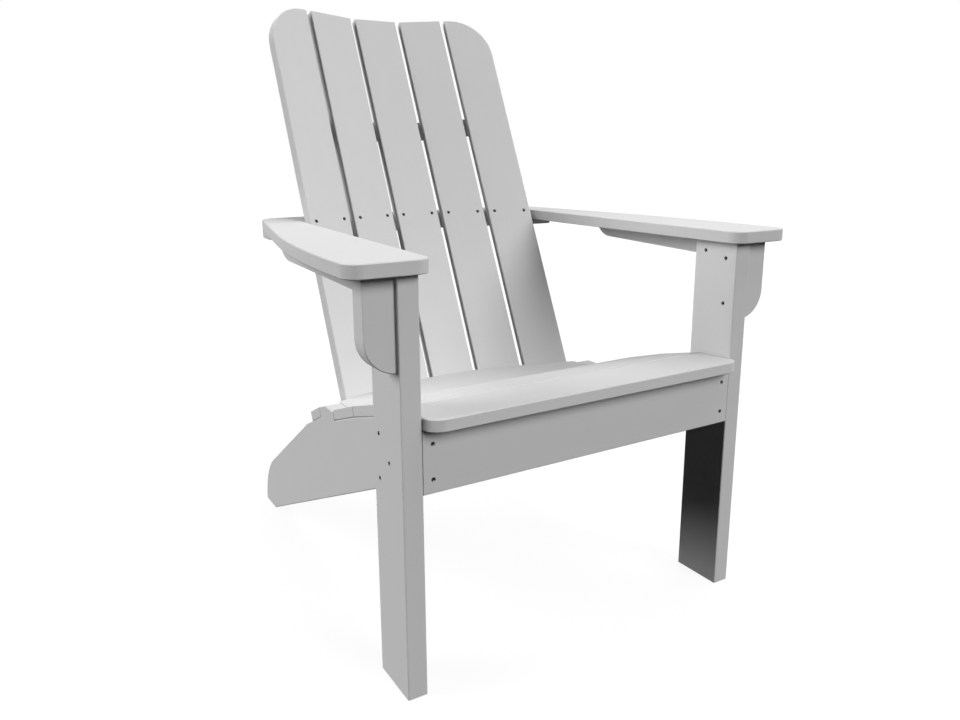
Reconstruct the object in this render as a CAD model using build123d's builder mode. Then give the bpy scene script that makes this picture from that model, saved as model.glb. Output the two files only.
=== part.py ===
from build123d import *
from math import atan2, cos, radians, sin, tan
import os

# Adirondack chair of plastic lumber, screwed together. Millimetres, +Z up, the sitter looks along -Y.
# The origin is on the ground under the middle of the chair. Profiles are drawn with the front legs'
# front faces at zero and moved back as a whole by centre_y.

# Lumber and fits
thick_stock = 30.0  # legs, stringers, arm rail and arm brackets
thin_stock = 17.5  # slats, apron and the curved back rails
leg_width = 88.0
eased_edge = 2.0  # rounds of the straight edges
edge_bevel = 1.2  # bevels of the curved and sawn edges
fit_gap = 0.3

# Seat
seat_width = 560.0  # between the front legs
seat_height = 406.9  # top of the front slat at its front edge
front_overhang = 24.0  # of the front slat, ahead of the legs
front_slat_width = 85.5
front_corner_radius = 24.0
seat_slat_gap = 1.0  # between the slats where they lie on the stringers
front_fall = 3.2
second_fall = 14.0
third_fall = 17.0
fourth_fall = 19.85
rear_step = 3.4  # from the fourth slat down to the level rear slat
rear_seat_width = 97.6  # of the level rear slat, at the middle
seat_depth = 447.1  # front edge of the seat to the back slats

# Stringers and apron
apron_clearance = 297.5  # ground to the apron's lower edge
stringer_flat = 31.5  # level stretch of the stringer behind the apron
foot_reach = 757.0  # leg fronts to the rear end of the stringer's foot
foot_length = 57.5
shoulder_setback = 64.5
shoulder_height = 110.0
tooth_length = 38.0  # level top behind the fourth slat
notch_margin = 37.0  # floor of the notch behind the lower rail

# Back
recline = 24.875
slat_length = 782.8
slat_spacing = 9.8
slat_turn = 10.0  # turn of the slats beside the middle one, against it
outer_turn = 5.0  # turn of the outer slats, against those
back_side_gap = 10.0  # outer slats to the stringers
crest_flat = 2.2  # level top of the outer slats beside their large round
slat_tail = 3.6  # slat ends below the lower rail
lower_rail_drop = 22.2  # seat line to the top of the lower rail, along the slats
upper_brace_drop = 215.4  # slat tops to the top of the upper brace
curved_rail_depth = 50.0  # behind the middle slat
brace_inset = 24.0  # end of the upper brace inside the outer slat's edge
brace_corner = 16.0
arm_rail_depth = 58.0  # behind the middle slat

# Arms
arm_height = 611.8
arm_thickness = 19.0
arm_overhang = 15.0  # ahead of the legs
arm_width = 114.0  # at the front
arm_inset = 14.0  # front of the arm inside the leg's inner face
arm_slat_gap = 1.0
arm_bend = 190.0  # leg fronts to the bend of the outer edge
arm_straight = 2.4  # outer edge between the front round and the bend's curve
arm_tail_width = 50.0
arm_corner_radius = 22.0
arm_tail_radius = 38.0
rail_end_overlap = 12.0  # end of the arm rail outside the arm's rear corner
rail_end_radius = 18.0
bracket_setback = 7.0
bracket_reach = 43.3
bracket_height = 126.0
bracket_arc_height = 45.0
cleat_thickness = 22.0
cleat_end = 386.0  # leg fronts to the rear end of the cleat
cleat_round = 38.0  # length of the rounded rear end
cleat_front_height = 31.0
cleat_rear_height = 23.4  # where the rounded end starts

# Screws, many-sided, with more sides on the heads that show
shown_sides = 12
hidden_sides = 6
shank_sides = 4
head_radius = 3.0
head_height = 3.0
shank_radius = 1.9
head_clearance = 0.3
shank_clearance = 0.15
head_recess = 2.5  # head below the face of the board
thin_bite = 12.0  # depth of a screw in thin stock
thick_bite = 21.5  # depth of a screw in thick stock
end_bite = 33.0  # depth of a screw in end or edge grain
apron_screw_margin = 20.0
leg_screw_edge = 17.0  # of the two rear screws, to the rear edge of the leg
leg_screw_front = 39.4  # of the middle screw, to the front edge of the leg
leg_screw_pitch = 32.2
leg_screw_top = 38.6  # front edge of the seat to the upper leg screw
bracket_screw_margin = 26.3
cleat_screw_margin = 22.5
cleat_screw_drop = 18.0
arm_screw_inset = 75.0  # from either end of the cleat
rail_screw_inset = 30.0  # from the rear and front edges of the arm rail's ends
slat_screw_edge = 13.1
brace_screw_edge = 36.0
row_above_arm = 0.7  # arm top to the row of screws in the back slats
stringer_screw_pitch = 27.0
pocket_angle = 20.0
pocket_depth = 15.0  # pocket floor to the joint, along the screw
channel_length = 40.0  # head to the open end of its hole or pocket
rear_pocket_margin = 8.5  # front edge of the rear seat slat to the first of its screws
rear_pocket_pitch = 17.0

# Places that follow from the sizes
half_width = seat_width / 2
leg_height = arm_height - arm_thickness
bracket_foot = leg_height - bracket_height
arc_top = bracket_foot + bracket_arc_height
cleat_start = bracket_setback + thick_stock
stringer_inside = half_width - thick_stock
stringer_middle = half_width - thick_stock / 2
leg_outside = half_width + thick_stock
sides = {"left": -1, "right": 1}


def along_slope(start, fall, along, up):
    """Point of the seat profile, measured along and square to a stretch that falls to the rear."""
    angle = radians(fall)
    y = start[0] + along * cos(angle) + up * sin(angle)
    z = start[1] - along * sin(angle) + up * cos(angle)
    return (y, z)


# The three slats behind the front one share the depth that the front and rear slats leave them.
falls = [front_fall, second_fall, third_fall, fourth_fall]
front_cos, *fall_cosines = [cos(radians(fall)) for fall in falls]
corner = along_slope((-front_overhang, seat_height), front_fall, 0, -thin_stock)
seat_line_y = seat_depth - front_overhang
rear_seat_front = seat_line_y - rear_seat_width
shared_start = corner[0] + (front_slat_width + seat_slat_gap) * front_cos
shared_end = rear_seat_front - seat_slat_gap - thin_stock * sin(radians(fourth_fall))
shared_gaps = seat_slat_gap * sum(fall_cosines[:-1])
seat_slat_width = (shared_end - shared_start - shared_gaps) / sum(fall_cosines)

# Each seat slat is given by its lower front corner, its fall and its width.
widths = [front_slat_width, seat_slat_width, seat_slat_width, seat_slat_width]
seat_slats = []
for fall, width in zip(falls, widths):
    seat_slats.append((corner, fall, width))
    corner = along_slope(corner, fall, width + seat_slat_gap, 0)
tooth_foot = corner
front_corner = seat_slats[0][0]
stringer_front = along_slope(front_corner, front_fall, (thin_stock - front_corner[0]) / front_cos, 0)
last_corner, last_fall, last_width = seat_slats[-1]
seat_end = along_slope(last_corner, last_fall, last_width, thin_stock)
rear_seat_top = seat_end[1] - rear_step
centre_y = (foot_reach + front_corner[0]) / 2

# The back has its own axes: across the chair, square to the middle slat, and up along the slats.
lean_sin = sin(radians(recline))
lean_cos = cos(radians(recline))
face_offset = seat_line_y * lean_cos - rear_seat_top * lean_sin
seat_line = seat_line_y * lean_sin + rear_seat_top * lean_cos
lower_rail_top = seat_line - lower_rail_drop
lower_rail_foot = lower_rail_top - thin_stock
slat_foot = lower_rail_foot - slat_tail
slat_top = slat_foot + slat_length
upper_brace_foot = slat_top - upper_brace_drop - thin_stock


def back_direction(across, square, along):
    """Vector given by the back's own axes."""
    y = square * lean_cos + along * lean_sin
    z = along * lean_cos - square * lean_sin
    return Vector(across, y, z)


def back_point(across, square, along):
    """Point given by the back's own axes."""
    return back_direction(across, square, along) - Vector(0, centre_y, 0)


def back_plane(along):
    """Plane square to the slats, with its x across the chair and its y to the rear."""
    return Plane(back_point(0, 0, along), x_dir=(1, 0, 0), z_dir=back_direction(0, 0, 1))


def side_plane(across):
    """Upright plane with its x to the rear and its y up, facing +X."""
    return Plane((across, -centre_y, 0), x_dir=(0, 1, 0), z_dir=(1, 0, 0))


def level_plane(height):
    """Level plane, with x across the chair and y to the rear."""
    return Plane((0, -centre_y, height), x_dir=(1, 0, 0), z_dir=(0, 0, 1))


def front_plane(depth):
    """Upright plane facing the front, with its x across the chair and its y up."""
    return Plane((0, depth - centre_y, 0), x_dir=(1, 0, 0), z_dir=(0, -1, 0))


# The back slats stand side by side on a chain that turns from slat to slat, and fill the width
# between the stringers. Each is given by the middle of its front face and its turn.
turns = [radians(slat_turn), radians(slat_turn + outer_turn)]
joint_turns = [turns[0] / 2, (turns[0] + turns[1]) / 2]
joints_width = slat_spacing * sum(cos(turn) for turn in joint_turns)
outer_edge_width = thin_stock * sin(turns[1])
half_back = stringer_inside - back_side_gap - joints_width - outer_edge_width
slat_width = half_back / (1 / 2 + sum(cos(turn) for turn in turns))
crest_radius = slat_width - crest_flat
chain_x = slat_width / 2
chain_forward = 0.0
right_slats = []
for joint_turn, turn in zip(joint_turns, turns):
    chain_x += slat_spacing * cos(joint_turn)
    chain_forward += slat_spacing * sin(joint_turn)
    middle_x = chain_x + slat_width / 2 * cos(turn)
    middle_forward = chain_forward + slat_width / 2 * sin(turn)
    right_slats.append((middle_x, face_offset - middle_forward, turn))
    chain_x += slat_width * cos(turn)
    chain_forward += slat_width * sin(turn)
left_slats = [(-x, square, -turn) for x, square, turn in reversed(right_slats)]
back_slats = left_slats + [(0.0, face_offset, 0.0)] + right_slats


def on_slat(slat, across, behind):
    """Point of a slat's cross-section, from the middle of its front face."""
    x, square, turn = slat
    return (
        x + across * cos(turn) + behind * sin(turn),
        square - across * sin(turn) + behind * cos(turn),
    )


def slat_chain(behind):
    """Corners of all the slats, from left to right, at one depth behind their front faces."""
    corners = []
    for slat in back_slats:
        corners.append(on_slat(slat, -slat_width / 2, behind))
        corners.append(on_slat(slat, slat_width / 2, behind))
    return corners


def slat_normal(slat):
    """Vector square to a slat's face, to the rear."""
    return back_direction(sin(slat[2]), cos(slat[2]), 0)


slat_backs = slat_chain(thin_stock)
back_edge_x, back_edge_square = slat_backs[-1]
middle_back = face_offset + thin_stock
arm_rail_foot = arm_height - thick_stock
arm_rail_middle = arm_rail_foot + thick_stock / 2
arm_rail_rear = (middle_back + arm_rail_middle * lean_sin) / lean_cos + arm_rail_depth
arm_rail_front = (back_edge_square + arm_rail_middle * lean_sin) / lean_cos

# Outline of the right arm, seen from above
arm_front_inside = half_width - arm_inset
arm_front_outside = arm_front_inside + arm_width
arm_rear_inside = back_edge_x + arm_slat_gap
arm_rear_outside = arm_rear_inside + arm_tail_width
tail_slope = (arm_rail_rear - arm_bend) / (arm_front_outside - arm_rear_outside)
tail_angle = atan2(1, tail_slope)
arm_bend_run = arm_bend + arm_overhang - arm_corner_radius - arm_straight
arm_bend_radius = arm_bend_run / tan(tail_angle / 2)
rail_end = arm_rear_outside + rail_end_overlap
rail_end_meet = arm_rail_rear - rail_end_overlap * tail_slope


def both_sides(places):
    """Screw places of one kind on the left and right sides."""
    return [place for sign in sides.values() for place in places(sign)]


def each_slat(places):
    """Screw places of one kind on all the back slats."""
    return [place for slat in back_slats for place in places(slat)]


def screw_place(point, drive):
    """Plane at the outer face of a screw's head. The screw is driven from the point along drive."""
    drive = Vector(drive).normalized()
    return Plane(Vector(point) + drive * head_recess, z_dir=-drive)


def stepped_pin(head, above, shank, length, head_sides):
    """Pin along -Z with a many-sided head, which rises above the origin, on a square shank."""
    with BuildPart() as pin:
        with BuildSketch(Plane.XY.offset(-head_height)):
            RegularPolygon(radius=head, side_count=head_sides)
        extrude(amount=head_height + above)
        with BuildSketch(Plane.XY.offset(-head_height)):
            RegularPolygon(radius=shank, side_count=shank_sides)
        extrude(amount=-length)
    return pin.part


def screw_form(length, head_sides):
    """One screw, and the hole for it with a flat seat for its head and a channel out of the board."""
    screw = stepped_pin(head_radius, 0, shank_radius, length, head_sides)
    hole_head = head_radius + head_clearance
    hole_shank = shank_radius + shank_clearance
    hole = stepped_pin(hole_head, channel_length, hole_shank, length + shank_clearance, head_sides)
    return (screw, hole)


def drill(places, form):
    """Holes for screws of one form."""
    with Locations(*places):
        add(form[1], mode=Mode.SUBTRACT)


def screws(places, form):
    """Group of equal screws."""
    with BuildPart() as group:
        with Locations(*places):
            add(form[0])
    return group


def write(piece, name):
    """Label a finished piece and write it to its own file."""
    piece.part.label = name
    export_step(piece.part, f"parts/{name}.step")


# Screws. A shank is as long as what it passes through and its bite in the next board.
thin_through = thin_stock - head_recess - head_height
thick_through = thick_stock - head_recess - head_height
rail_through = thick_stock - arm_thickness - head_recess - head_height
apron_form = screw_form(thin_through + end_bite, shown_sides)
leg_form = screw_form(thick_through + thick_bite, shown_sides)
bracket_form = screw_form(thick_through + thick_bite, shown_sides)
cleat_form = screw_form(thick_through + thin_bite, shown_sides)
row_form = screw_form(thin_through + end_bite, shown_sides)
lower_form = screw_form(thin_through + end_bite, hidden_sides)
stringer_form = screw_form(thin_through + end_bite, hidden_sides)
rail_arm_form = screw_form(rail_through + thin_bite, hidden_sides)
pocket_form = screw_form(pocket_depth + thin_bite, hidden_sides)

apron_top = stringer_front[1]
apron_places = []
for sign in sides.values():
    for height in (apron_clearance + apron_screw_margin, apron_top - apron_screw_margin):
        apron_places.append(screw_place((sign * stringer_middle, -centre_y, height), (0, 1, 0)))


def leg_places(sign):
    """Three screws through the leg into the stringer, the middle one nearer to the front."""
    places = []
    rear = leg_width - leg_screw_edge
    for row, y in enumerate((rear, leg_screw_front, rear)):
        z = seat_height - leg_screw_top - row * leg_screw_pitch
        places.append(screw_place((sign * leg_outside, y - centre_y, z), (-sign, 0, 0)))
    return places


def bracket_places(sign):
    """Two screws from inside the leg into the bracket."""
    y = bracket_setback + thick_stock / 2 - centre_y
    heights = (leg_height - bracket_screw_margin, bracket_foot + bracket_screw_margin)
    return [screw_place((sign * half_width, y, z), (sign, 0, 0)) for z in heights]


def cleat_places(sign):
    """One screw from inside the leg into the cleat."""
    y = leg_width - cleat_screw_margin - centre_y
    return [screw_place((sign * half_width, y, leg_height - cleat_screw_drop), (sign, 0, 0))]


def arm_places(sign):
    """Two screws up through the cleat into the arm, with their heads deep in the cleat."""
    x = sign * (leg_outside + cleat_thickness / 2)
    z = leg_height - pocket_depth - head_height - head_recess
    ys = (cleat_start + arm_screw_inset, cleat_end - arm_screw_inset)
    return [screw_place((x, y - centre_y, z), (0, 0, 1)) for y in ys]


def rail_arm_places(sign):
    """Two screws up through the end of the arm rail into the arm."""
    x = sign * (arm_rear_inside + arm_tail_width / 2)
    ys = (arm_rail_front + rail_screw_inset, arm_rail_rear - rail_screw_inset)
    return [screw_place((x, y - centre_y, arm_rail_foot), (0, 0, 1)) for y in ys]


def row_places(slat):
    """Two screws through a back slat into the arm rail, in a level row just above the arms."""
    height = arm_height + row_above_arm
    places = []
    for across in (slat_screw_edge - slat_width / 2, slat_width / 2 - slat_screw_edge):
        x, square = on_slat(slat, across, 0)
        along = (height + square * lean_sin) / lean_cos
        places.append(screw_place(back_point(x, square, along), slat_normal(slat)))
    return places


def lower_places(slat):
    """Two screws through the foot of a back slat into the lower rail."""
    places = []
    for across in (slat_screw_edge - slat_width / 2, slat_width / 2 - slat_screw_edge):
        x, square = on_slat(slat, across, 0)
        point = back_point(x, square, lower_rail_foot + thin_stock / 2)
        places.append(screw_place(point, slat_normal(slat)))
    return places


def brace_places(slat):
    """Two screws from behind through the upper brace, with their heads deep in the brace."""
    places = []
    behind = thin_stock + pocket_depth + head_height + head_recess
    for across in (brace_screw_edge - slat_width / 2, slat_width / 2 - brace_screw_edge):
        x, square = on_slat(slat, across, behind)
        point = back_point(x, square, upper_brace_foot + thin_stock / 2)
        places.append(screw_place(point, -slat_normal(slat)))
    return places


def stringer_places(sign):
    """Two screws down through the end of the lower rail into the stringer."""
    middle = back_edge_square + curved_rail_depth / 2
    places = []
    for offset in (-stringer_screw_pitch / 2, stringer_screw_pitch / 2):
        point = back_point(sign * stringer_middle, middle + offset, lower_rail_top)
        places.append(screw_place(point, -back_direction(0, 0, 1)))
    return places


def pocket_place(joint, drive):
    """Screw driven at a slant, its head at the floor of a pocket short of the joint."""
    drive = Vector(drive).normalized()
    return screw_place(Vector(joint) - drive * (pocket_depth + head_height + head_recess), drive)


def seat_places(slat, sign):
    """Two slanted screws from the inner face of a stringer up into a seat slat, at its quarter points."""
    start, fall, width = slat
    bearing_start = max(0, thin_stock - start[0])
    quarter = (width - bearing_start) / 4
    angle = radians(fall)
    slant = radians(pocket_angle)
    drive = (sign * sin(slant), cos(slant) * sin(angle), cos(slant) * cos(angle))
    places = []
    for along in (bearing_start + quarter, width - quarter):
        y, z = along_slope(start, fall, along, 0)
        places.append(pocket_place((sign * stringer_middle, y - centre_y, z), drive))
    return places


def all_seat_places(sign):
    """The slanted screws of all the seat slats on one stringer."""
    return sum([seat_places(slat, sign) for slat in seat_slats], [])


def rear_seat_places(sign):
    """Two slanted screws from under the rear seat slat into a stringer."""
    slant = radians(pocket_angle)
    drive = (sign * cos(slant), 0, sin(slant))
    places = []
    for offset in (rear_pocket_margin, rear_pocket_margin + rear_pocket_pitch):
        y = rear_seat_front + offset - centre_y
        joint = (sign * stringer_inside, y, rear_seat_top - thin_stock / 2)
        places.append(pocket_place(joint, drive))
    return places


os.makedirs("parts", exist_ok=True)

# Front legs
for side, sign in sides.items():
    with BuildPart() as leg:
        with BuildSketch(side_plane(sign * half_width)):
            Rectangle(leg_width, leg_height, align=(Align.MIN, Align.MIN))
        extrude(amount=sign * thick_stock)
        fillet(leg.edges().filter_by(Axis.Z), radius=eased_edge)
        drill(leg_places(sign), leg_form)
        drill(bracket_places(sign), bracket_form)
        drill(cleat_places(sign), cleat_form)
    write(leg, f"{side}_front_leg")

# Stringers: stepped under the seat, toothed behind it, notched for the lower rail and swept to a foot
notch_top = back_direction(0, back_edge_square, lower_rail_top)
notch_front = back_direction(0, back_edge_square, lower_rail_foot)
notch_rear = back_direction(0, back_edge_square + curved_rail_depth + notch_margin, lower_rail_foot)
tooth_rise = (rear_seat_top - tooth_foot[1]) / cos(radians(fourth_fall))
tooth_front = along_slope(tooth_foot, fourth_fall, 0, tooth_rise)
shoulder = (foot_reach - shoulder_setback, shoulder_height)
for side, sign in sides.items():
    with BuildPart() as stringer:
        with BuildSketch(side_plane(sign * stringer_inside)):
            with BuildLine():
                top = Polyline(
                    stringer_front,
                    *[slat[0] for slat in seat_slats[1:]],
                    tooth_foot,
                    tooth_front,
                    (tooth_front[0] + tooth_length, rear_seat_top),
                    (notch_top.Y, notch_top.Z),
                    (notch_front.Y, notch_front.Z),
                    (notch_rear.Y, notch_rear.Z),
                    shoulder,
                )
                TangentArc(top @ 1, (foot_reach, 0), tangent=top % 1)
                Polyline(
                    (foot_reach, 0),
                    (foot_reach - foot_length, 0),
                    (thin_stock + stringer_flat, apron_clearance),
                    (thin_stock, apron_clearance),
                    stringer_front,
                )
            make_face()
        extrude(amount=sign * thick_stock)
        chamfer(stringer.faces().filter_by(Axis.X).edges(), length=edge_bevel)
        drill(leg_places(sign), leg_form)
        drill(stringer_places(sign), stringer_form)
        drill([place for place in apron_places if place.origin.X * sign > 0], apron_form)
        drill(all_seat_places(sign), pocket_form)
        drill(rear_seat_places(sign), pocket_form)
    write(stringer, f"{side}_stringer")

# Apron between the legs, its top bevelled to the front slat
with BuildPart() as front_apron:
    with BuildSketch(side_plane(fit_gap - half_width)):
        with BuildLine():
            Polyline(
                (0, apron_clearance),
                (thin_stock, apron_clearance),
                stringer_front,
                along_slope(stringer_front, front_fall, -thin_stock / front_cos, 0),
                close=True,
            )
        make_face()
    extrude(amount=seat_width - 2 * fit_gap)
    chamfer(front_apron.edges().filter_by(Axis.X).group_by(Axis.Z)[0].sort_by(Axis.Y)[0], length=edge_bevel)
    drill(apron_places, apron_form)
write(front_apron, "front_apron")

# Seat slats on the stringers' steps
for number, slat in enumerate(seat_slats, start=1):
    start, fall, width = slat
    angle = radians(fall)
    slat_end = Plane(
        (fit_gap - half_width, start[0] - centre_y, start[1]),
        x_dir=(0, cos(angle), -sin(angle)),
        z_dir=(1, 0, 0),
    )
    with BuildPart() as seat_slat:
        with BuildSketch(slat_end):
            Rectangle(width, thin_stock, align=(Align.MIN, Align.MIN))
        extrude(amount=seat_width - 2 * fit_gap)
        upward = Axis((0, 0, 0), (0, sin(angle), cos(angle)))
        if number == 1:
            fillet(seat_slat.edges().filter_by(upward).sort_by(Axis.Y)[:2], radius=front_corner_radius)
            chamfer(seat_slat.faces().filter_by(upward).edges(), length=edge_bevel)
        else:
            fillet(seat_slat.faces().sort_by(upward)[-1].edges().filter_by(Axis.X), radius=eased_edge)
            chamfer(
                seat_slat.faces().sort_by(upward)[0].edges().filter_by(Axis.X, reverse=True),
                length=eased_edge,
            )
        for sign in sides.values():
            drill(seat_places(slat, sign), pocket_form)
    write(seat_slat, f"seat_slat_{number}")

# Level rear slat between the stringers, its rear edge cut to the back
rear_seat_length = 2 * (stringer_inside - fit_gap)
with BuildPart() as rear_seat_slat:
    with BuildSketch(level_plane(rear_seat_top - thin_stock)):
        with Locations((0, rear_seat_front)):
            Rectangle(rear_seat_length, seat_depth, align=(Align.CENTER, Align.MIN))
    extrude(amount=thin_stock)
    outer_slat = back_slats[-1]
    run_out = on_slat(outer_slat, slat_width, -fit_gap)
    behind_all = face_offset + seat_depth
    with BuildSketch(back_plane(seat_line)):
        with BuildLine():
            Polyline(
                (-run_out[0], run_out[1]),
                *slat_chain(-fit_gap),
                run_out,
                (run_out[0], behind_all),
                (-run_out[0], behind_all),
                close=True,
            )
        make_face()
    extrude(amount=seat_depth, both=True, mode=Mode.SUBTRACT)
    drill(both_sides(rear_seat_places), pocket_form)
write(rear_seat_slat, "rear_seat_slat")

# Back slats, each drawn on its own front face, the outer two with a large round at the top
for number, slat in enumerate(back_slats, start=1):
    x, square, turn = slat
    face = Plane(
        back_point(x, square, slat_foot),
        x_dir=back_direction(cos(turn), -sin(turn), 0),
        z_dir=-slat_normal(slat),
    )
    with BuildPart() as back_slat:
        with BuildSketch(face) as outline:
            Rectangle(slat_width, slat_length, align=(Align.CENTER, Align.MIN))
            top_corners = outline.vertices().group_by(Axis.Y)[-1].sort_by(Axis.X)
            if number == 1:
                fillet(top_corners[0], radius=crest_radius)
            if number == len(back_slats):
                fillet(top_corners[-1], radius=crest_radius)
        extrude(amount=-thin_stock)
        chamfer(back_slat.edges().filter_by(Axis((0, 0, 0), back_direction(0, 0, 1))), length=edge_bevel)
        drill(row_places(slat), row_form)
        drill(lower_places(slat), lower_form)
        drill(brace_places(slat), pocket_form)
    write(back_slat, f"back_slat_{number}")

# Lower rail: curved behind the slats, its ends let into the stringers
with BuildPart() as lower_back_rail:
    with BuildSketch(back_plane(lower_rail_foot)):
        with BuildLine():
            Polyline(
                (-half_width, back_edge_square + curved_rail_depth),
                (-half_width, back_edge_square),
                *slat_backs,
                (half_width, back_edge_square),
                (half_width, back_edge_square + curved_rail_depth),
            )
            ThreePointArc(
                (half_width, back_edge_square + curved_rail_depth),
                (0, middle_back + curved_rail_depth),
                (-half_width, back_edge_square + curved_rail_depth),
            )
        make_face()
    extrude(amount=thin_stock)
    chamfer(lower_back_rail.faces().filter_by(Axis.X).edges(), length=edge_bevel)
    drill(each_slat(lower_places), lower_form)
    drill(both_sides(stringer_places), stringer_form)
write(lower_back_rail, "lower_back_rail")

# Upper brace: the same curve, inside the outer edges of the back
brace_front = on_slat(back_slats[-1], slat_width / 2 - brace_inset, thin_stock)
brace_rear = (brace_front[0], brace_front[1] + curved_rail_depth)
with BuildPart() as upper_back_brace:
    with BuildSketch(back_plane(upper_brace_foot)) as outline:
        with BuildLine():
            Polyline(
                (-brace_rear[0], brace_rear[1]),
                (-brace_front[0], brace_front[1]),
                *slat_backs[1:-1],
                brace_front,
                brace_rear,
            )
            ThreePointArc(
                brace_rear,
                (0, middle_back + curved_rail_depth),
                (-brace_rear[0], brace_rear[1]),
            )
        make_face()
        rear_corners = outline.vertices().filter_by(lambda corner: abs(corner.Y - brace_rear[1]) < fit_gap)
        fillet(rear_corners, radius=brace_corner)
    extrude(amount=thin_stock)
    drill(each_slat(brace_places), pocket_form)
write(upper_back_brace, "upper_back_brace")

# Arm rail: a level board cut to the slats, rebated at both ends so that the arms lie flush in it
with BuildPart() as arm_rail:
    with BuildSketch(level_plane(arm_rail_foot)) as outline:
        with BuildLine():
            Polyline(
                (-arm_rear_outside, arm_rail_rear),
                (-rail_end, rail_end_meet),
                (-rail_end, arm_rail_front),
                (rail_end, arm_rail_front),
                (rail_end, rail_end_meet),
                (arm_rear_outside, arm_rail_rear),
                close=True,
            )
        make_face()
        fillet(outline.vertices().group_by(Axis.Y)[-1], radius=arm_tail_radius)
        fillet(outline.vertices().group_by(Axis.Y)[0], radius=rail_end_radius)
    extrude(amount=thick_stock)
    with BuildSketch(back_plane(seat_line)):
        with BuildLine():
            Polyline(
                (-rail_end, back_edge_square),
                *slat_backs,
                (rail_end, back_edge_square),
                (rail_end, -seat_depth),
                (-rail_end, -seat_depth),
                close=True,
            )
        make_face()
    extrude(amount=slat_length, mode=Mode.SUBTRACT)
    for sign in sides.values():
        with BuildSketch(level_plane(leg_height)):
            with BuildLine():
                Polyline(
                    (sign * (arm_rear_inside - fit_gap), arm_rail_rear),
                    (sign * (arm_front_inside - fit_gap), -arm_overhang),
                    (sign * arm_front_outside, -arm_overhang),
                    (sign * arm_front_outside, arm_rail_rear),
                    close=True,
                )
            make_face()
        extrude(amount=thick_stock, mode=Mode.SUBTRACT)
    drill(both_sides(rail_arm_places), rail_arm_form)
    drill(each_slat(row_places), row_form)
write(arm_rail, "arm_rail")

# Arms: straight inside, curving in to a narrow tail outside
for side, sign in sides.items():
    tail_corner = (sign * arm_rear_outside, arm_rail_rear)
    bend_corner = (sign * arm_front_outside, arm_bend)
    with BuildPart() as arm:
        with BuildSketch(level_plane(leg_height)) as outline:
            with BuildLine():
                Polyline(
                    tail_corner,
                    (sign * arm_rear_inside, arm_rail_rear),
                    (sign * arm_front_inside, -arm_overhang),
                    (sign * arm_front_outside, -arm_overhang),
                    bend_corner,
                    close=True,
                )
            make_face()
            fillet(outline.vertices().group_by(Axis.Y)[0], radius=arm_corner_radius)
            fillet(outline.vertices().sort_by_distance(tail_corner)[0], radius=arm_tail_radius)
            fillet(outline.vertices().sort_by_distance(bend_corner)[0], radius=arm_bend_radius)
        extrude(amount=arm_thickness)
        chamfer(arm.faces().filter_by(Axis.Z).edges(), length=edge_bevel)
        drill(arm_places(sign), pocket_form)
        drill(rail_arm_places(sign), rail_arm_form)
    write(arm, f"{side}_arm")

# Brackets under the fronts of the arms, square to the legs
for side, sign in sides.items():
    with BuildPart() as bracket:
        with BuildSketch(front_plane(bracket_setback)):
            with BuildLine():
                Polyline(
                    (sign * leg_outside, bracket_foot),
                    (sign * leg_outside, leg_height),
                    (sign * (leg_outside + bracket_reach), leg_height),
                    (sign * (leg_outside + bracket_reach), arc_top),
                )
                TangentArc(
                    (sign * (leg_outside + bracket_reach), arc_top),
                    (sign * leg_outside, bracket_foot),
                    tangent=(0, -1),
                )
            make_face()
        extrude(amount=-thick_stock)
        chamfer(bracket.faces().filter_by(Axis.Y).edges(), length=edge_bevel)
        drill(bracket_places(sign), bracket_form)
    write(bracket, f"{side}_arm_bracket")

# Cleats under the arms, along the outer faces of the legs, their rear ends rounded up to the arms
for side, sign in sides.items():
    with BuildPart() as cleat:
        with BuildSketch(side_plane(sign * leg_outside)):
            with BuildLine():
                lower_edge = Polyline(
                    (cleat_end, leg_height),
                    (cleat_start, leg_height),
                    (cleat_start, leg_height - cleat_front_height),
                    (cleat_end - cleat_round, leg_height - cleat_rear_height),
                )
                TangentArc(lower_edge @ 1, (cleat_end, leg_height), tangent=lower_edge % 1)
            make_face()
        extrude(amount=sign * cleat_thickness)
        chamfer(cleat.faces().sort_by(Axis.X)[-1 if sign > 0 else 0].edges(), length=edge_bevel)
        drill(cleat_places(sign), cleat_form)
        drill(arm_places(sign), pocket_form)
    write(cleat, f"{side}_arm_cleat")

# Screws, one group for each joint
write(screws(apron_places, apron_form), "apron_screws")
write(screws(both_sides(leg_places), leg_form), "leg_screws")
write(screws(both_sides(bracket_places), bracket_form), "bracket_screws")
write(screws(both_sides(cleat_places), cleat_form), "cleat_screws")
write(screws(both_sides(arm_places), pocket_form), "arm_screws")
write(screws(both_sides(rail_arm_places), rail_arm_form), "arm_rail_screws")
write(screws(each_slat(row_places), row_form), "back_screws")
write(screws(each_slat(lower_places), lower_form), "lower_rail_screws")
write(screws(each_slat(brace_places), pocket_form), "brace_screws")
write(screws(both_sides(stringer_places), stringer_form), "stringer_screws")
write(screws(both_sides(all_seat_places), pocket_form), "seat_screws")
write(screws(both_sides(rear_seat_places), pocket_form), "rear_seat_screws")
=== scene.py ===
# %% [markdown]
# # A garden chair of plastic lumber
# The chair is a stack of plain boards with eased edges, screwed together. Its boards come ready made and
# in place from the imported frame, so this lesson is about what the eye adds: the pebbled skin of the
# lumber, the screws deep in their holes, a soft studio, and a camera that stands where the photographer
# stood. All lengths are in metres.

# %% Load the frame
from math import cos, radians, sin

import bpy
import numpy as np
from mathutils import Matrix, Vector


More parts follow.
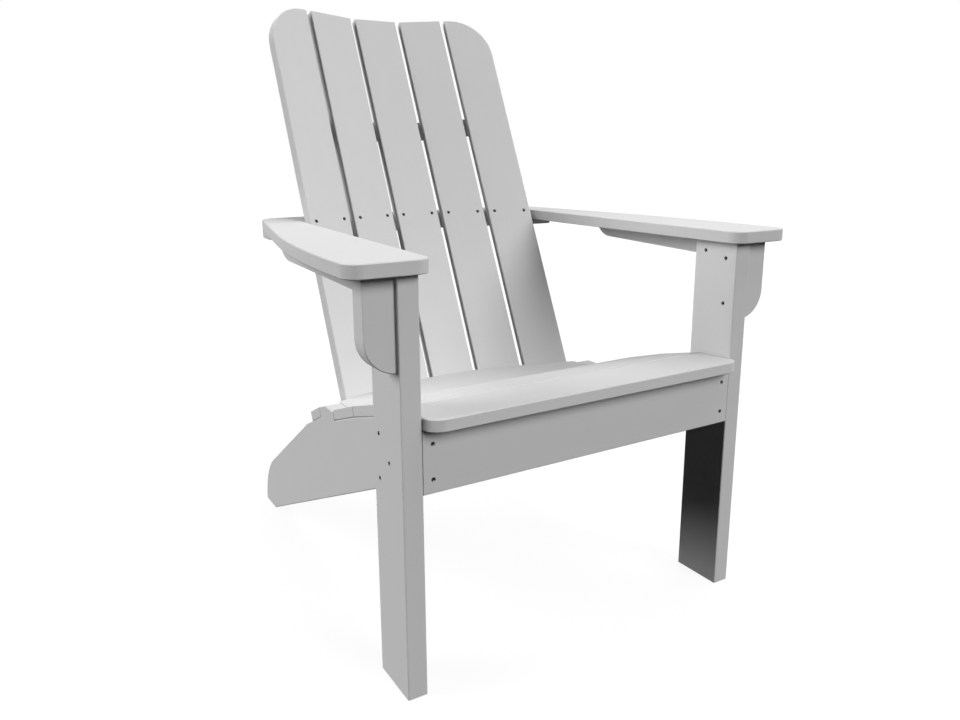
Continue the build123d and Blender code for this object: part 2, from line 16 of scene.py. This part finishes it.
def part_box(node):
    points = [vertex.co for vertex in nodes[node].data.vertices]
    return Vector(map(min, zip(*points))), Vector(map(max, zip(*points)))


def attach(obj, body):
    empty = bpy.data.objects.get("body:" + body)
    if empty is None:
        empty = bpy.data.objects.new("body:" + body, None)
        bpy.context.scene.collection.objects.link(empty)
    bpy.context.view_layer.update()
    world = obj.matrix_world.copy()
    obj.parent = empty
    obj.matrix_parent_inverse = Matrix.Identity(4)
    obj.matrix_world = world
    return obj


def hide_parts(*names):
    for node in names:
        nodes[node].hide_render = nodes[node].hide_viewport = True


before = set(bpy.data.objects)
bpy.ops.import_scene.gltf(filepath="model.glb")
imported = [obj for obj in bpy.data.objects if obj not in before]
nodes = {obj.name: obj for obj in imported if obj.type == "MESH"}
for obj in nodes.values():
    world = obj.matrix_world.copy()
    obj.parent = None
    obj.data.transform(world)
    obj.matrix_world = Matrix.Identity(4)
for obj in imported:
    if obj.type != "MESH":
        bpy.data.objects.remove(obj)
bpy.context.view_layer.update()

screw_nodes = sorted(name for name in nodes if name.endswith("_screws"))
board_nodes = sorted(set(nodes) - set(screw_nodes))
print(f"{len(board_nodes)} boards and {len(screw_nodes)} groups of screws")

# %% [markdown]
# ## Where the photographer stood
# A camera could be placed by eye, but then the chair's proportions could never be compared with the
# picture. This one was solved from the straight edges of the legs, the apron and the arms. It stands in
# front of the chair, a step to the left, and looks slightly down. The lens is given by its focal length in
# pixels of a picture 960 wide, and a small shift allows for a picture that was trimmed after it was taken.

# %% Camera
picture_width = 960
picture_height = 720
focal_pixels = 811.61
optical_centre = (484.17, 337.13)
sensor_millimetres = 36
stand_point = Vector((-0.7218, -1.2510, 0.7478))
heading = radians(31.164)
tilt = radians(-13.472)
roll = radians(-0.178)

look = Vector((sin(heading) * cos(tilt), cos(heading) * cos(tilt), sin(tilt)))
level_right = Vector((cos(heading), -sin(heading), 0))
level_up = level_right.cross(look)
right = cos(roll) * level_right + sin(roll) * level_up
up = cos(roll) * level_up - sin(roll) * level_right
facing = Matrix((right, up, -look)).transposed().to_4x4()

camera_data = bpy.data.cameras.new("camera")
camera_data.sensor_fit = "HORIZONTAL"
camera_data.sensor_width = sensor_millimetres
camera_data.lens = focal_pixels / picture_width * sensor_millimetres
camera_data.shift_x = (picture_width / 2 - optical_centre[0]) / picture_width
camera_data.shift_y = (optical_centre[1] - picture_height / 2) / picture_width
camera = bpy.data.objects.new("camera", camera_data)
camera.matrix_world = Matrix.Translation(stand_point) @ facing
bpy.context.scene.collection.objects.link(camera)
bpy.context.scene.camera = camera
bpy.context.scene.view_settings.view_transform = "Standard"
print(f"lens {camera_data.lens:.1f} mm, {stand_point.length:.2f} m from the origin under the chair")

# %% [markdown]
# ## Small helpers for materials
# Colours are written as sRGB hex values, as a paint chart gives them, and turned to the linear light that
# Blender mixes. One function adds a node, sets its own settings, and fills its inputs with a value or a
# link, so that a material reads as a short list of nodes. Another starts an empty material.

# %% Colour and node helpers


def paint(hex_code):
    """Linear RGBA of an sRGB hex colour: each channel is undone by the sRGB curve."""
    channels = np.array([int(hex_code[i : i + 2], 16) for i in (1, 3, 5)]) / 255
    linear = np.where(channels <= 0.04045, channels / 12.92, ((channels + 0.055) / 1.055) ** 2.4)
    return (*linear.tolist(), 1.0)


def add_node(tree, kind, inputs=None, **settings):
    """A new node of this kind. Inputs map a socket's name or number to a value or to another socket."""
    node = tree.nodes.new(kind)
    for name, value in settings.items():
        setattr(node, name, value)
    for key, value in (inputs or {}).items():
        if isinstance(value, bpy.types.NodeSocket):
            tree.links.new(value, node.inputs[key])
        else:
            node.inputs[key].default_value = value
    return node


def new_material(name):
    """An empty node material, its tree, and the output node in it."""
    material = bpy.data.materials.new(name)
    material.use_nodes = True
    tree = material.node_tree
    tree.nodes.clear()
    return material, tree, add_node(tree, "ShaderNodeOutputMaterial")


print("half-way grey in linear light:", [round(channel, 3) for channel in paint("#808080")])

# %% [markdown]
# ## The skin of the lumber
# Plastic lumber is high-density polyethylene, coloured right through and pressed out of a die in long
# boards. The die leaves faint streaks along each board, and the cooling skin a fine pebble. All of it is
# slight: from a step away the boards look plain and nearly matt, because the pebble scatters the shine, so
# less is reflected than the IOR of 1.5 alone would give.
#
# A flat picture of the skin would have to be wrapped round every board, with seams at the edges. Noise
# that is worked out in space has no seams. Its streaks have to follow each board, so there is one finish
# for each direction that the boards run in, and a number of each board's own shifts the streaks, so that
# no two boards share them. The real pebble is about 0.3 mm, too fine to show, so it is drawn three times
# as coarse.

# %% Lumber finish
lumber_grey = "#C6C6C6"
lumber_light = "#CBCBCB"
streak_length = 0.180
streak_width = 0.0025
streak_detail = 2.0
streak_relief = 0.00004
pebble_size = 0.0009
pebble_detail = 1.0
pebble_relief = 0.00006
mottle_size = 0.060
mottle_detail = 3.0
skin_reflection = 0.08
skin_roughness = (0.54, 0.66)


def lumber_finish(name, along):
    """Nearly matt polyethylene whose streaks run along this direction."""
    material, tree, output = new_material(name)
    turn = Vector((1, 0, 0)).rotation_difference(Vector(along)).to_euler()
    place = add_node(tree, "ShaderNodeTexCoord").outputs["Object"]
    board = add_node(tree, "ShaderNodeObjectInfo").outputs["Random"]
    streak_place = add_node(
        tree,
        "ShaderNodeMapping",
        {"Vector": place, "Rotation": turn, "Scale": (streak_length, streak_width, streak_width)},
        vector_type="TEXTURE",
    )
    streaks = add_node(
        tree,
        "ShaderNodeTexNoise",
        {"Vector": streak_place.outputs[0], "W": board, "Scale": 1.0, "Detail": streak_detail},
        noise_dimensions="4D",
    )
    pebble = add_node(
        tree,
        "ShaderNodeTexNoise",
        {"Vector": place, "Scale": 1 / pebble_size, "Detail": pebble_detail},
    )
    mottle = add_node(
        tree,
        "ShaderNodeTexNoise",
        {"Vector": place, "Scale": 1 / mottle_size, "Detail": mottle_detail},
    )
    tone = add_node(
        tree,
        "ShaderNodeMath",
        {0: mottle.outputs["Fac"], 1: streaks.outputs["Fac"]},
        operation="MULTIPLY",
    )
    colour = add_node(
        tree,
        "ShaderNodeMix",
        {"Factor": tone.outputs[0], "A": paint(lumber_grey), "B": paint(lumber_light)},
        data_type="RGBA",
    )
    gloss = add_node(
        tree,
        "ShaderNodeMapRange",
        {"Value": streaks.outputs["Fac"], "To Min": skin_roughness[0], "To Max": skin_roughness[1]},
    )
    streak_bump = add_node(
        tree,
        "ShaderNodeBump",
        {"Height": streaks.outputs["Fac"], "Strength": 1.0, "Distance": streak_relief},
    )
    pebble_bump = add_node(
        tree,
        "ShaderNodeBump",
        {
            "Height": pebble.outputs["Fac"],
            "Strength": 1.0,
            "Distance": pebble_relief,
            "Normal": streak_bump.outputs[0],
        },
    )
    shader = add_node(
        tree,
        "ShaderNodeBsdfPrincipled",
        {
            "Base Color": colour.outputs["Result"],
            "Roughness": gloss.outputs[0],
            "Specular IOR Level": skin_reflection,
            "Normal": pebble_bump.outputs[0],
        },
    )
    tree.links.new(shader.outputs[0], output.inputs["Surface"])
    return material


# %% One finish for each way that the boards run
slat_low, slat_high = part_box("back_slat_3")
lean = (0, slat_high.y - slat_low.y, slat_high.z - slat_low.z)
across_finish = lumber_finish("polyethylene_lumber_across", (1, 0, 0))
fore_and_aft_finish = lumber_finish("polyethylene_lumber_fore_and_aft", (0, 1, 0))
upright_finish = lumber_finish("polyethylene_lumber_upright", (0, 0, 1))
leaning_finish = lumber_finish("polyethylene_lumber_leaning", lean)


def finish_for(board):
    """The finish whose streaks run the way that this board was cut."""
    if board.startswith("back_slat"):
        return leaning_finish
    if board.endswith(("_leg", "_bracket")):
        return upright_finish
    if board.endswith(("_arm", "_cleat", "_stringer")):
        return fore_and_aft_finish
    return across_finish


for board in board_nodes:
    for slot in nodes[board].material_slots:
        slot.material = finish_for(board)
print("finished boards:", ", ".join(board_nodes))

# %% [markdown]
# ## The screws in their holes
# Deck screws hold the chair together, sunk a few millimetres so that each shows as a dark spot. From close
# by there is a coated head with a six-lobed recess at the bottom of the hole. The frame has each group of
# screws as one mesh of plain many-sided forms. Their places could be written down again here, but a place
# that is measured on the frame can't disagree with it.

# %% Places of the screws


def screw_places(node):
    """Head centre, axis out of the head, length and head radius of each separate screw in a node.
    Points that coincide are joined, islands are found by spreading the lowest label along the triangles,
    and the axis is the direction of most spread."""
    mesh = nodes[node].data
    points = np.empty(len(mesh.vertices) * 3)
    mesh.vertices.foreach_get("co", points)
    points, joined = np.unique(points.reshape(-1, 3).round(6), axis=0, return_inverse=True)
    corners = np.empty(len(mesh.loops), int)
    mesh.loops.foreach_get("vertex_index", corners)
    triangles = joined.ravel()[corners].reshape(-1, 3)
    labels = np.arange(len(points))
    settled = False
    while not settled:
        lowest = labels[triangles].min(axis=1)
        spread = labels.copy()
        for corner in range(3):
            np.minimum.at(spread, triangles[:, corner], lowest)
        settled = np.array_equal(spread, labels)
        labels = spread
    places = []
    for label in np.unique(labels):
        island = points[labels == label]
        middle = island.mean(axis=0)
        axis = np.linalg.svd(island - middle)[2][0]
        along = (island - middle) @ axis
        radius = np.linalg.norm(island - middle - along[:, None] * axis, axis=1)
        if along[radius.argmax()] < 0:
            axis, along = -axis, -along
        places.append((middle + axis * along.max(), axis, np.ptp(along), radius.max()))
    return places


places_of = {node: screw_places(node) for node in screw_nodes}
print("screws in each group:", {node: len(places) for node, places in places_of.items()})

# %% [markdown]
# ## The shape of a screw
# A screw is a turned shape, so it is one profile carried round its axis. A Screw modifier could turn a
# plain profile, but two things here also depend on the angle: the lobes of the recess, and the thread,
# which climbs by one pitch in each turn. On a grid of depth and angle both are short formulas.

# %% Sizes of a screw
head_height = 0.0030
rim_round = 0.0005
recess_reach = 0.0016
recess_depth = 0.0014
recess_lobe = 0.16
recess_lobes = 6
recess_wall = 0.12 * recess_reach
shank_radius = 0.0019
thread_pitch = 0.0030
thread_height = 0.0006
tip_length = 0.0040

# Counts and shares that say where the rows and columns of the grid lie.
sides = 24
face_rows = 12
face_middle = 0.02
rim_rows = 3
rows_per_turn = 4
tip_rows = np.array([[0.7], [0.35], [0.05]])
print(f"{sides} points round a screw, and {rows_per_turn} rows in each turn of its thread")

# %% Grid of a screw


def down_the_screw(*stretches):
    """The rows of all stretches of the profile, one after the other, each spread over all the columns."""
    return np.concatenate([np.broadcast_to(rows, (len(rows), sides)) for rows in stretches])


def screw_grid(length, head_radius):
    """Points of one screw on a grid of rows down its profile and columns round its axis, head up.
    The rows run from the middle of the recess over the rim, down the head, in under it, down the thread
    and to the tip, which is a cone. The recess falls by a smooth step inside a circle with six lobes, and
    the thread is a triangle wave of depth and angle together."""
    angle = np.arange(sides) / sides * 2 * np.pi

    face = np.linspace(face_middle, 1, face_rows)[:, None] * (head_radius - rim_round)
    wall = recess_reach * (1 + recess_lobe * np.cos(recess_lobes * angle))
    step = np.clip((wall - face) / recess_wall + 0.5, 0, 1)
    face_depth = -recess_depth * step**2 * (3 - 2 * step)

    bend = np.linspace(0, np.pi / 2, rim_rows + 1)[1:, None]
    rim = head_radius - rim_round * (1 - np.sin(bend))
    rim_depth = -rim_round * (1 - np.cos(bend))

    under = np.array([[head_radius], [shank_radius]])
    under_depth = np.full((2, 1), -head_height)

    shank = length - head_height - tip_length
    down = np.linspace(0, shank, int(shank / thread_pitch * rows_per_turn))[:, None]
    wave = np.abs(2 * ((down / thread_pitch + angle / (2 * np.pi)) % 1) - 1)
    thread = shank_radius - thread_height * (1 - wave)
    thread_depth = -head_height - down

    tip = (shank_radius - thread_height) * tip_rows
    tip_depth = -length + tip_length * tip_rows

    radius = down_the_screw(face, rim, under, thread, tip)
    depth = down_the_screw(face_depth, rim_depth, under_depth, thread_depth, tip_depth)
    return np.stack([radius * np.cos(angle), radius * np.sin(angle), depth], axis=-1)


def ring_faces(rows):
    """Quads between neighbouring rows of a grid that closes round its axis, and one cap at either end."""
    row, column = np.meshgrid(np.arange(rows - 1), np.arange(sides), indexing="ij")
    here = row * sides
    below = (row + 1) * sides
    after = (column + 1) % sides
    quads = np.stack([here + column, below + column, below + after, here + after], axis=-1).reshape(-1, 4)
    first_cap = np.arange(sides)
    last_cap = (rows - 1) * sides + np.arange(sides)[::-1]
    return quads, first_cap, last_cap


def screw_group(node):
    """All the screws of one node as one mesh, each turned from its own axes to its place in the chair."""
    points, faces = [], []
    for head, axis, length, head_radius in places_of[node]:
        grid = screw_grid(length, head_radius)
        helper = np.eye(3)[np.abs(axis).argmin()]
        side = np.cross(helper, axis)
        side /= np.linalg.norm(side)
        basis = np.stack([side, np.cross(axis, side), axis])
        start = sum(len(part) for part in points)
        quads, first_cap, last_cap = ring_faces(len(grid))
        points.append(grid.reshape(-1, 3) @ basis + head)
        faces += (quads + start).tolist() + [(first_cap + start).tolist(), (last_cap + start).tolist()]
    mesh = bpy.data.meshes.new(f"turned_{node}")
    mesh.from_pydata(np.concatenate(points).tolist(), [], faces)
    mesh.shade_smooth()
    piece = bpy.data.objects.new(f"turned_{node}", mesh)
    bpy.context.scene.collection.objects.link(piece)
    return piece


# %% [markdown]
# ## The coat of the screws
# The screws are hardened steel with a dark dipped coat, which dries with a fine grain. In a hole only a
# few millimetres wide they see little light, so they read as black from a step away. Plain black would do
# for that, but the grain and a dull metal shine hold up when someone looks into a hole.

# %% Screw finish and pieces
coat_dark = "#2A2A2B"
coat_light = "#4A4A4B"
coat_grain = 0.0004
coat_detail = 2.0
coat_relief = 0.0001
coat_relief_share = 0.2
coat_metallic = 0.8
coat_roughness = 0.45


def coated_steel():
    """Dark dipped coat over steel: rough, with fine grain that breaks up the shine."""
    material, tree, output = new_material("coated_screw_steel")
    place = add_node(tree, "ShaderNodeTexCoord").outputs["Object"]
    grain = add_node(
        tree,
        "ShaderNodeTexNoise",
        {"Vector": place, "Scale": 1 / coat_grain, "Detail": coat_detail},
    )
    colour = add_node(
        tree,
        "ShaderNodeMix",
        {"Factor": grain.outputs["Fac"], "A": paint(coat_dark), "B": paint(coat_light)},
        data_type="RGBA",
    )
    bump = add_node(
        tree,
        "ShaderNodeBump",
        {"Height": grain.outputs["Fac"], "Strength": coat_relief_share, "Distance": coat_relief},
    )
    shader = add_node(
        tree,
        "ShaderNodeBsdfPrincipled",
        {
            "Base Color": colour.outputs["Result"],
            "Metallic": coat_metallic,
            "Roughness": coat_roughness,
            "Normal": bump.outputs[0],
        },
    )
    tree.links.new(shader.outputs[0], output.inputs["Surface"])
    return material


screw_finish = coated_steel()
for node in screw_nodes:
    piece = screw_group(node)
    piece.data.materials.append(screw_finish)
    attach(piece, "root")
    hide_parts(node)
    print(piece.name, len(piece.data.polygons), "faces")

# %% [markdown]
# ## Studio
# The photograph is a catalogue picture with a pure white ground. More light would make the ground white,
# but the chair too. So the floor and the world are white only to the camera, to reflections and through
# clear surfaces. To the light that bounces between surfaces the world is dark and the floor nearly so,
# because the shade under the seat is deep. A faint shadow of the chair stays on the floor.

# %% Floor and world
floor_reach = 9.0
floor_white = 0.92
floor_shadow = "#595959"
floor_bounce = "#272727"
world_white = "#FFFFFF"


def seen_directly(tree):
    """1 for the camera, for reflections and for light through a surface, and 0 for bounced light."""
    path = add_node(tree, "ShaderNodeLightPath")
    seen = add_node(
        tree,
        "ShaderNodeMath",
        {0: path.outputs["Is Camera Ray"], 1: path.outputs["Is Glossy Ray"]},
        operation="MAXIMUM",
    )
    seen = add_node(
        tree,
        "ShaderNodeMath",
        {0: seen.outputs[0], 1: path.outputs["Is Transmission Ray"]},
        operation="MAXIMUM",
    )
    return seen.outputs[0]


def studio_floor():
    """A square floor, white where it is seen, with the chair's shadow in it."""
    corners = np.array([(-1, -1, 0), (1, -1, 0), (1, 1, 0), (-1, 1, 0)]) * floor_reach
    mesh = bpy.data.meshes.new("studio_floor")
    mesh.from_pydata(corners.tolist(), [], [(0, 1, 2, 3)])
    material, tree, output = new_material("studio_floor_paper")
    bounced = add_node(tree, "ShaderNodeBsdfDiffuse", {"Color": paint(floor_bounce)})
    shadowed = add_node(tree, "ShaderNodeBsdfDiffuse", {"Color": paint(floor_shadow)})
    glow = add_node(tree, "ShaderNodeEmission", {"Strength": floor_white})
    white = add_node(tree, "ShaderNodeAddShader", {0: shadowed.outputs[0], 1: glow.outputs[0]})
    mix = add_node(
        tree,
        "ShaderNodeMixShader",
        {0: seen_directly(tree), 1: bounced.outputs[0], 2: white.outputs[0]},
    )
    tree.links.new(mix.outputs[0], output.inputs["Surface"])
    mesh.materials.append(material)
    floor = bpy.data.objects.new("studio_floor", mesh)
    bpy.context.scene.collection.objects.link(floor)


def studio_world():
    """White where it is seen, and dark for bounced light, which comes from the lamps alone."""
    world = bpy.data.worlds.new("studio_world")
    world.use_nodes = True
    tree = world.node_tree
    tree.nodes.clear()
    white = add_node(
        tree,
        "ShaderNodeBackground",
        {"Color": paint(world_white), "Strength": seen_directly(tree)},
    )
    add_node(tree, "ShaderNodeOutputWorld", {"Surface": white.outputs[0]})
    bpy.context.scene.world = world


studio_floor()
studio_world()
print(f"floor {2 * floor_reach:.0f} m square, in a world that is white where it is seen")

# %% [markdown]
# ## Lamps
# Soft boxes close to the chair would light its near boards more than its far ones, so three wide lamps
# stand far away. Which faces of the chair are bright tells where they are: one low on the left and behind,
# for the outer sides, one low in front, for the legs, the apron and the back, and one high on the right,
# for the arms and the seat.

# %% Lamps


def soft_sun(name, azimuth, elevation, spread, strength):
    """A distant lamp that looks as wide as spread. Its angles are in degrees: azimuth 0 is in front of the
    chair and 90 on its right, as the camera sees it."""
    turn, rise = radians(azimuth), radians(elevation)
    towards = Vector((sin(turn) * cos(rise), -cos(turn) * cos(rise), sin(rise)))
    lamp = bpy.data.lights.new(name, "SUN")
    lamp.angle = radians(spread)
    lamp.energy = strength
    sun = bpy.data.objects.new(name, lamp)
    sun.matrix_world = towards.to_track_quat("Z", "Y").to_matrix().to_4x4()
    bpy.context.scene.collection.objects.link(sun)


soft_sun("rear_left_light", azimuth=-116, elevation=26, spread=40, strength=2.92)
soft_sun("front_light", azimuth=16, elevation=31, spread=34, strength=2.44)
soft_sun("rear_right_light", azimuth=106, elevation=63, spread=50, strength=1.85)
print("lamps:", ", ".join(sorted(lamp.name for lamp in bpy.data.lights)))
